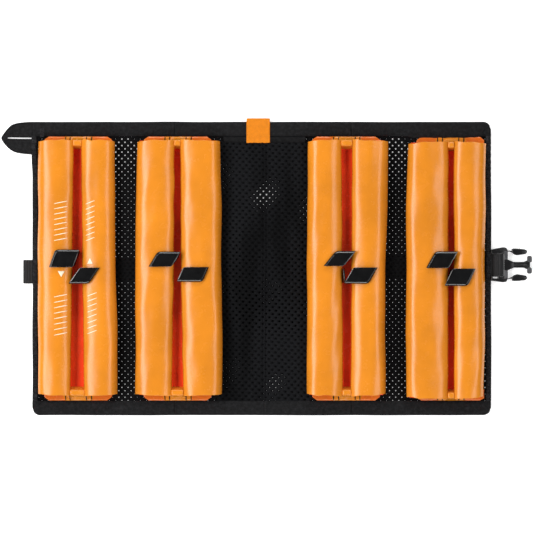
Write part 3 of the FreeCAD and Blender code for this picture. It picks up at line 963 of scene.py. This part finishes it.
def build_print():
    """Slanted hatch strokes and two direction triangles, printed on the left-hand sleeves."""
    sleeve = SLEEVES["left_door"]
    ink_layer = Build()
    # Left end, right end, rise over the stroke, highest and lowest stroke
    blocks = (
        (-219.6, -206.0, 2.7, 65.0, 26.8),
        (-187.0, -177.6, 3.7, 64.6, 26.6),
        (-219.6, -206.0, 2.7, -31.5, -71.0),
        (-185.4, -175.4, 3.7, -30.6, -69.6),
    )
    for left, right, rise, first, last in blocks:
        for y in np.linspace(first, last, 8):
            rows = []
            for u in np.linspace(0, 1, 15):
                x, mid = left + (right - left) * u, y + rise * u
                half = 0.42 * (0.35 + 0.65 * math.sin(math.pi * min(max(u, 0.02), 0.98)) ** 0.5)
                rows.append([(x, mid + v * half, sleeve.surface(x, mid + v * half) + lift)
                             for v, lift in ((-1, 0.07), (1, 0.07), (1, -0.12), (-1, -0.12))])
            add_capped(ink_layer, rows)
    n = TRIANGLE_STEPS
    for corners in (
        ((-208.5, -4.7), (-215.8, -4.7), (-212.2, -10.9)),
        ((-185.6, 2.6), (-179.6, 2.6), (-182.6, 8.8)),
    ):
        corners = np.array(corners)
        index, points, faces = {}, [], []
        for i in range(n + 1):
            for j in range(n + 1 - i):
                index[i, j] = len(points)
                x, y = np.array((n - i - j, i, j)) @ corners / n
                points.append((x, y, sleeve.surface(x, y) + 0.08))
        for i, j in index:
            if i + j < n:
                faces.append((index[i, j], index[i + 1, j], index[i, j + 1]))
            if i + j < n - 1:
                faces.append((index[i + 1, j], index[i + 1, j + 1], index[i, j + 1]))
        count = len(points)
        rim = ([index[i, 0] for i in range(n)] + [index[n - j, j] for j in range(n)]
               + [index[0, n - j] for j in range(n)])
        faces += [[i + count for i in f[::-1]] for f in faces]
        faces += [(a, a + count, b + count, b) for a, b in zip(rim, rim[1:] + rim[:1])]
        ink_layer.add(points + [(x, y, z - 0.2) for x, y, z in points], faces)
    piece = ink_layer.piece("left_door_print", "ink")
    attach(piece, "left_door")


# ---- retainers
def inset_polygon(corners, insets):
    """Anticlockwise polygon with each edge (from corner i to i + 1) moved inwards."""
    corners = np.asarray(corners, float)
    ways = np.roll(corners, -1, 0) - corners
    ways /= np.linalg.norm(ways, axis=1, keepdims=True)
    starts = corners + ways[:, ::-1] * [-1, 1] * np.reshape(insets, (-1, 1))
    result = []
    for i in range(len(corners)):
        p, d, q, e = starts[i - 1], ways[i - 1], starts[i], ways[i]
        t = ((q - p)[0] * e[1] - (q - p)[1] * e[0]) / (d[0] * e[1] - d[1] * e[0])
        result.append(p + d * t)
    return np.array(result)


def ring_stack(build, rings):
    """Rings of equal length, from the underside up, closed with a fan at both ends."""
    n, top = len(rings[0]), (len(rings) - 1) * len(rings[0])
    points = np.vstack([*rings, rings[0].mean(axis=0), rings[-1].mean(axis=0)])
    a, b = len(points) - 2, len(points) - 1
    faces = grid_faces(len(rings), n)
    for i in range(n):
        j = (i + 1) % n
        faces += [(i, a, j), (top + i, top + j, b)]
    build.add(points, faces)


# Upper and lower leaf: left corner, width, lean of the slanted ends, and x of the hinge
LEAVES = {
    "left_door": ((-224.8, 25.0, 6.5, -193.0), (-204.4, 21.0, 11.4, -200.0)),
    "left_inner": ((-122.0, 24.0, 9.5, -90.0), (-92.6, 26.5, 6.5, -92.0)),
    "right_inner": ((58.8, 21.0, 12.6, 86.5), (80.2, 25.3, 9.5, 80.8)),
    "right_door": ((164.8, 23.5, 9.6, 193.3), (184.0, 24.0, 8.2, 189.7)),
}
LIFT_SLOPE = 0.40  # fall of a web past its leaf's hinge


def leaf(node, left, wide, lean, upper):
    """Slanted leaf, with wide bevels on the two edges that point away from its stem."""
    (_, y0, z0), (_, y1, z1) = cad_box(node)
    corners = [(left, y0), (left + wide, y0), (left + wide + lean, y1), (left + lean, y1)]
    # By edge or corner of a lower leaf; an upper leaf has them turned half round
    values = (2.2, 1.5, 0.45, 0.45), (1.25, 1.7, 0.30, 0.30), (0.7, 3.4, 0.8, 2.0)
    bevels, drops, round_by = (v[2:] + v[:2] if upper else v for v in values)
    bevels = np.array(bevels)

    def ring(insets, z):
        insets = np.broadcast_to(insets, 4)
        return flat_ring(rounded_corners(inset_polygon(corners, insets), round_by), z)

    drop = np.concatenate([np.linspace(drops[i - 1], drops[i], 6) for i in range(4)])
    plate = Build()
    ring_stack(plate, [
        ring(0.9, z0 + 0.05), ring(0.25, z0 + 0.12), ring(0.0, z0 + 0.32),
        ring(0.0, z1 - np.minimum(drop + 0.1, z1 - z0 - 0.5)), ring(0.12, z1 - drop * 0.9),
        ring(bevels * 0.9, z1 - 0.16), ring(bevels + 0.15, z1 - 0.07),
        ring(bevels + 0.7, z1 - 0.02), ring(bevels + 2.6, z1 - 0.12), ring(bevels + 4.6, z1 - 0.20),
    ])
    return plate.piece(f"{node}_plate", "leaf")


WEB_HALF = 0.65  # half of a web's thickness


def build_retainers():
    floor = SLEEVE_LOW + SKIN + 0.10
    for panel in PANELS:
        foot = Build()
        for word, (left, wide, lean, hinge) in zip(("upper", "lower"), LEAVES[panel]):
            upper = word == "upper"
            node = f"{panel}_retainer_leaf_{word}"
            piece = leaf(node, left, wide, lean, upper)
            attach(piece, f"{panel}_{word}_leaf")
            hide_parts(node)
            (_, low, under), (_, high, _) = cad_box(node)
            y0, y1, top = low + 1.2, high - 1.2, under - 0.45
            # The web stands under the leaf's end that reaches over the slot
            near = left + wide - 1.9 if upper else left + 1.9
            x0, x1 = (near + lean * (y - low) / (high - low) for y in (y0, y1))
            if panel == "right_inner" and not upper:
                x0, x1 = 80.6, 79.4

            def band(grow, z, rounding):
                half = WEB_HALF + grow
                corners = [(x0 - half, y0), (x0 + half, y0), (x1 + half, y1), (x1 - half, y1)]
                return flat_ring(rounded_corners(corners, rounding, 4), z)

            def sloped(ring):
                """Lower past the hinge, where the lifted leaf comes down."""
                past = (ring[:, 0] - hinge) * (1 if upper else -1)
                return ring - np.outer(LIFT_SLOPE * np.maximum(past, 0.0), (0, 0, 1))

            ring_stack(foot, [
                band(1.2, floor, 0.7), band(1.2, floor + 0.7, 0.7), band(0.7, floor + 1.0, 0.6),
                band(0.2, floor + 1.5, 0.5), band(0.0, floor + 2.4, 0.5),
                sloped(band(0.0, top - 1.0, 0.5)), sloped(band(-0.2, top, 0.3)),
            ])
        piece = foot.piece(f"{panel}_retainer_webs", "leaf")
        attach(piece, panel)
        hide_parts(f"{panel}_retainer_foot")


# ---- label, stub and loop
def build_label():
    """Woven orange tab folded over the spine's top binding."""
    (x0, y0, _), (x1, y1, _) = cad_box("spine_label")
    half_thick = 0.375
    curve = spline([
        (y0 + 0.1, 4.57), (y0 + 2.5, 4.50), (y0 + 8, 4.45), (140.0, 4.47), (146.0, 4.51),
        (150.0, 4.45), (152.2, 4.20), (153.4, 3.65), (y1 - 0.5, 2.85), (153.2, 1.95),
        (152.0, 1.40), (150.6, 1.25),
    ], 46)
    normal = -right_normals(curve)
    rings = []
    for x in np.linspace(x0 + 0.2, x1 - 0.2, 34):
        fray = 0.30 * waves(41, x, 0.0, 2.2, 9)
        edge = smooth_step(min(x - x0, x1 - x) / 1.2)
        frayed = curve.copy()
        frayed[:6, 0] += fray * np.linspace(1, 0, 6)
        half = half_thick * (0.62 + 0.38 * edge)
        ripple = 0.05 * waves(43, x, curve[:, 0], 6, 6)
        upper = frayed + normal * (half + ripple)[:, None]
        ring = np.vstack([upper, (frayed - normal * (half - 0.05))[::-1]])
        rings.append(np.column_stack([np.full(len(ring), x), ring]))
    tab = Build()
    add_strip(tab, rings, flip=True)
    seam(tab, (x0 + 1.2, 134.6, 4.86), (x1 - 1.0, 134.6, 4.86), 2.4, 1.7, 0.16)
    for x in (x0 + 1.1, x1 - 1.1):
        seam(tab, (x, 134.8, 4.86), (x, 148.6, 4.90), 2.4, 1.7, 0.16)
    piece = tab.piece("spine_label_tab", "label", "orange_thread")
    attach(piece, "spine")
    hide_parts("spine_label")


def folded_web(line, count, y0, y1, rows, depths):
    """Webbing along Y, folded round a line; depths gives how far each face is from the line."""
    curve = spline(line, count)
    normal = right_normals(curve)
    rings = []
    for y in np.linspace(y0, y1, rows):
        outside, inside = depths(smooth_step(min(y - y0, y1 - y)))
        ring = np.vstack([curve + normal * outside[:, None], (curve - normal * inside)[::-1]])
        rings.append(np.column_stack([ring[:, 0], np.full(len(ring), y), ring[:, 1]]))
    web = Build()
    add_strip(web, rings)
    return web


def build_stub():
    """The strap's end, folded back on itself beside the left edge."""
    (x0, y0, _), (x1, y1, _) = cad_box("strap_stub")
    x1 += 2.2
    line = [(x1, 2.62), (x0 + 5, 2.66), (x0 + 2.0, 2.60), (x0 + 0.8, 2.20), (x0 + 0.55, 1.62),
            (x0 + 0.8, 1.08), (x0 + 2.0, 0.70), (x0 + 5, 0.62), (x1, 0.66)]
    rib = 0.09 * np.cos(np.linspace(0, 1, 40) * 36)
    stub = folded_web(line, 40, y0 + 0.2, y1 - 0.2, 60, lambda edge: (
        0.50 * (0.55 + 0.45 * edge) + rib, 0.38 * (0.6 + 0.4 * edge)))
    piece = stub.piece("strap_stub_webbing", "web")
    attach(piece, "left_door")
    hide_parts("strap_stub")


LOOP_OUTLINE = np.array([
    (-240.5, 150.5), (-249.3, 150.3), (-258.1, 149.4), (-263.3, 148.1), (-266.4, 146.3),
    (-269.6, 143.2), (-273.4, 138.3), (-275.3, 135.4), (-275.9, 133.8), (-275.5, 131.9),
    (-273.4, 128.6), (-269.6, 124.1), (-265.3, 120.7), (-260.5, 118.5), (-253.3, 117.2),
    (-240.5, 116.2),
])
LOOP_SLIT = np.array([
    (-240.5, 132.9), (-246.0, 132.8), (-266.5, 133.0), (-268.9, 133.3), (-269.3, 133.6),
    (-268.9, 133.9), (-266.5, 134.2), (-246.0, 133.9), (-240.5, 133.9),
])


LOOP_POINTS = 110
# Across the loop's band: share of its width, and share of its half height there
LOOP_SECTION = np.array([
    (0, 0.0), (0.02, 0.62), (0.06, 0.95), (0.14, 1.0), (0.30, 0.93), (0.5, 0.90), (0.7, 0.93),
    (0.86, 1.0), (0.94, 0.95), (0.98, 0.62), (1.0, 0.0),
])


def build_loop():
    """Hanging loop: the top binding runs on, turns at a point and comes back."""
    outer, slit = spline(LOOP_OUTLINE, LOOP_POINTS), spline(LOOP_SLIT, LOOP_POINTS)[::-1]
    (_, _, z0), (_, _, z1) = cad_box("haul_loop")
    mid, half = (z0 + z1) / 2, (z1 - z0) / 2 - 0.12
    shares, heights = LOOP_SECTION.T
    rows = []
    for a, b in zip(outer, slit):
        xy = a + (b - a) * shares[:, None]
        cloth = 0.10 * waves(51, xy[:, 0], xy[:, 1], 7, 5)
        top, low = (np.column_stack([xy, mid + (cloth + way * half) * heights]) for way in (1, -1))
        rows.append(np.vstack([top, low[-2:0:-1]]))
    loop = Build()
    columns = len(rows[0])
    faces = grid_faces(LOOP_POINTS, columns)
    faces += [range(columns)[::-1], [(LOOP_POINTS - 1) * columns + c for c in range(columns)]]
    loop.add(rows, faces)
    for share in (0.10, 0.90):
        line = outer + (slit - outer) * share
        for i in range(4, 104, 6):
            a, b = (np.append(line[j], z1 - 0.16) for j in (i, i + 4))
            if np.linalg.norm(b - a) > 0.8:
                stitches(loop, [a], [b], 0.2, slot=1)
    piece = loop.piece("haul_loop_tape", "tape", "thread")
    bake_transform(piece)
    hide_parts("haul_loop")
    tack = Build()
    for x in np.arange(-235.4, -231.0, 0.75):
        points = [(x + 0.25 * (i % 2), 134.6 + 0.9 * i, 4.02) for i in range(11)]
        stitches(tack, points[:-1], points[1:], 0.22)
    piece = tack.piece("loop_bartack", "grey_thread")
    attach(piece, "left_door")


# ---- buckle
BUCKLE_LOW, BUCKLE_HIGH = 0.5, 6.9


def build_male_frame():
    z0, z1 = BUCKLE_LOW, BUCKLE_HIGH
    # Side rails that widen towards the shoulders, anticlockwise
    upper = [(233.2, 13.2), (247.0, 13.2), (247.2, 15.4), (250.6, 15.8), (250.4, 17.8),
             (248.8, 19.8), (245.6, 20.2), (243.6, 19.8), (233.2, 17.8)]
    lower = [(233.2, -14.8), (243.6, -16.2), (245.6, -16.5), (248.8, -16.2), (250.2, -14.6),
             (250.6, -12.6), (247.2, -12.2), (247.0, -9.8), (240.6, -9.8), (239.8, -12.4),
             (235.4, -12.2), (235.0, -9.6), (233.2, -9.6)]
    root = [(246.9, -3.9), (249.6, -4.5), (256.8, -1.4), (256.8, 4.8), (249.6, 7.8), (246.9, 7.2)]
    flare = [(267.0, -1.2), (271.4, -3.0), (274.0, -3.0), (274.0, 6.6), (271.4, 6.6), (267.0, 4.7)]
    part = Build()
    # Outline, lowest and highest z, radius of the corners and of the edges, and slot
    for shape in (
        (upper, z0 + 0.4, z1 - 0.5, 0.55, 0.9),
        (lower, z0 + 0.4, z1 - 0.5, 0.55, 0.9),
        # Parts in slot 1, the cross bar and the two round lobes, take lighter plastic as a painted
        # highlight.
        # Cross bar that carries the tongue and prongs, and the bar inside the webbing
        (oblong(247.0, 250.8, -13.0, 16.2), z0 + 0.2, z1 - 0.2, 0.7, 1.3, 1),
        (oblong(240.2, 244.2, -14.4, 17.6), 2.2, 4.3, 0.8, 0.9),
        # Guide tongue with its flared root, two round lobes, the nose between them, and a ridge
        (root, 1.2, z1 - 0.05, 0.8, 0.35),
        (oblong(255.5, 273.6, -1.3, 4.8), 1.6, 5.6, 0.4, 0.5),
        (oblong(270.9, 275.95, 4.2, 11.2), 1.5, 5.8, 2.3, 1.1, 1),
        (oblong(270.9, 275.95, -7.5, -0.7), 1.5, 5.8, 2.3, 1.1, 1),
        (flare, 1.6, 5.5, 0.6, 0.7),
        (oblong(257.5, 270.5, 0.9, 2.5), 5.3, 6.15, 0.5, 0.35),
    ):
        solid_shape(part, *shape)
    piece = part.piece("buckle_male_body", "buckle", "buckle_painted_highlight")
    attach(piece, "buckle_male")
    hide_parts("buckle_male_frame")


def build_prongs():
    neck = [(249.6, 15.3), (252.4, 15.5), (254.4, 14.7), (256.6, 13.4), (256.6, 15.4),
            (254.8, 16.2), (252.4, 16.7), (249.6, 16.4)]
    head = [(254.9, 14.5), (257.4, 12.4), (260.2, 11.5), (265.2, 12.3), (269.4, 12.9),
            (270.8, 14.4), (270.9, 16.4), (268.9, 17.9), (259.6, 18.8), (256.1, 18.8),
            (254.8, 17.6)]
    for word, turned in (("upper", False), ("lower", True)):
        node = f"buckle_male_prong_{word}"

        def place(corners):
            return [(x, 3.6 - y) for x, y in corners][::-1] if turned else corners

        part = Build()
        solid_shape(part, place(neck), 1.6, 5.8, 0.35, 0.4)
        solid_shape(part, place(head), 1.1, 6.3, 0.9, 0.9)
        for x in (259.0, 260.9, 262.8):
            solid_shape(part, place(oblong(x, x + 0.9, 17.4, 18.75)), 1.8, 5.6, 0.25, 0.25)
        piece = part.piece(f"{node}_barb", "buckle")
        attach(piece, f"{word}_prong")
        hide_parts(node)


def build_male_webbing():
    """Webbing sewn under the right edge and wrapped round the buckle's bar."""
    (_, y0, _), (_, y1, _) = cad_box("buckle_male_webbing")
    line = [
        (229.4, 0.85), (233.0, 0.85), (237.0, 0.95), (240.0, 1.15), (243.6, 1.25), (245.6, 2.0),
        (246.1, 3.4), (245.4, 4.9), (243.0, 5.65), (240.0, 5.55), (237.6, 4.9), (235.8, 3.5),
        (233.9, 2.35), (231.0, 2.30), (229.4, 2.30),
    ]
    rib = 0.10 * np.cos(np.arange(84) * 1.25)
    part = folded_web(line, 84, y0 + 0.2, y1 - 0.2, 56, lambda edge: (
        0.52 * (0.5 + 0.5 * edge) + rib * edge, 0.45 * (0.5 + 0.5 * edge)))
    piece = part.piece("buckle_male_strap", "web")
    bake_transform(piece)
    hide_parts("buckle_male_webbing")


def build_socket():
    """The female half: two shells joined by side walls, open at the left, with a strap bar."""
    (x0, y0, z0), (x1, y1, z1) = cad_box("buckle_female_socket")
    part = Build()
    # One half of the shell's outline: x, and distance from its side edge
    half = [(x0, 1.5), (x0 + 1.6, 0), (x0 + 10, 0), (x0 + 12, 3.2), (x0 + 22, 3.2), (x0 + 24, 0),
            (x1 - 5, 0.6)]
    shell = [(x, y0 + inset) for x, inset in half] + [(x, y1 - inset) for x, inset in half[::-1]]
    shell.append((x0 + 1.6, (y0 + y1) / 2))
    for a, b in ((z0 + 0.05, z0 + 1.7), (z1 - 1.7, z1 - 0.05)):
        solid_shape(part, shell, a, b, 0.9, 0.6)
    for way, edge in ((1, y1), (-1, y0)):
        for a, b in ((x0 + 0.6, x0 + 9.6), (x0 + 23.4, x1 - 5.2)):
            wall = oblong(a, b, *sorted((edge - way * 0.3, edge - way * 2.2)))
            solid_shape(part, wall, z0 + 0.8, z1 - 0.8, 0.3, 0.3)
        rail = [(x1 - 8, edge - way * 0.6), (x1, edge - way * 1.2), (x1, edge - way * 4.0),
                (x1 - 8, edge - way * 4.0)]
        solid_shape(part, rail[::-way], z0 + 0.3, z1 - 1.2, 0.9, 0.9)
    for a, b, base, top in ((x1 - 9.4, x1 - 5.2, z0 + 0.3, z1 - 0.6),
                            (x1 - 3.4, x1 - 0.1, z0 + 0.5, z0 + 3.9)):
        solid_shape(part, oblong(a, b, y0 + 3.4, y1 - 3.4), base, top, 0.8, 0.9)
    for x in (x0 + 14.0, x0 + 17.0, x0 + 20.0):
        solid_shape(part, oblong(x, x + 1.1, -6.5, 6.5), z0 + 0.02, z0 + 0.6, 0.5, 0.2)
    piece = part.piece("buckle_female_shell", "buckle")
    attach(piece, "spine")
    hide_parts("buckle_female_socket")


# ---- stage, lights, camera
VIEW_WIDE, CAMERA_HEIGHT, SENSOR = 554.3, 3085.0, 36.0
FLOOR_HALF = 6000.0
WORLD_LIGHT = 0.055
# Name, place, point aimed at, size along the lamp's X and Y, and power in watts
LIGHTS = (
    ("left_strip", (-1300, 0, 1550), (-60, 0, 0), (2600, 780), 50),
    ("right_strip", (1200, 0, 1650), (60, 0, 0), (2600, 580), 19),
    ("top_bank", (0, 1800, 1050), (0, 0, 0), (1600, 400), 18),
    ("bottom_bank", (0, -1800, 1050), (0, 0, 0), (1600, 400), 13),
)


def paper():
    n = Nodes("studio_paper")
    colour = n.tones(n.noise(60, 2), (0.3, (0.90, 0.90, 0.90)), (0.7, (0.92, 0.92, 0.92)))
    return n.finish(colour, n.spread(n.noise(20), 0.75, 0.85), None,
                    Emission_Color=(1, 1, 1, 1), Emission_Strength=0.50)


def build_studio():
    scene = bpy.context.scene
    corners = [(x, y, 0) for x, y in oblong(-FLOOR_HALF, FLOOR_HALF, -FLOOR_HALF, FLOOR_HALF)]
    floor = mesh_object("floor", corners, [(0, 1, 2, 3)], [paper()], [False])
    world = bpy.data.worlds.new("studio")
    world.use_nodes = True
    background = world.node_tree.nodes["Background"].inputs
    background["Color"].default_value = (1, 1, 1, 1)
    background["Strength"].default_value = WORLD_LIGHT
    scene.world = world
    for name, place, aim, size, power in LIGHTS:
        data = bpy.data.lights.new(name, "AREA")
        data.shape, data.energy = "RECTANGLE", power
        data.size, data.size_y = size[0] * MM, size[1] * MM
        lamp = bpy.data.objects.new(name, data)
        scene.collection.objects.link(lamp)
        place, aim = Vector(place) * MM, Vector(aim) * MM
        lamp.location = place
        lamp.rotation_euler = (aim - place).to_track_quat("-Z", "Y").to_euler()
    data = bpy.data.cameras.new("camera")
    data.sensor_fit, data.sensor_width = "HORIZONTAL", SENSOR
    data.lens = SENSOR * CAMERA_HEIGHT / VIEW_WIDE
    data.clip_start, data.clip_end = 0.05, 20.0
    camera = bpy.data.objects.new("camera", data)
    camera.location = (0, 0, (CAMERA_HEIGHT + 3.0) * MM)
    scene.collection.objects.link(camera)
    scene.camera = camera
    scene.view_settings.view_transform = "Standard"


build_backing()
build_pocket()
build_edge_bindings()
build_side_bindings()
build_straps()
build_sleeves()
build_print()
build_retainers()
build_label()
build_stub()
build_loop()
build_male_frame()
build_prongs()
build_male_webbing()
build_socket()
build_studio()
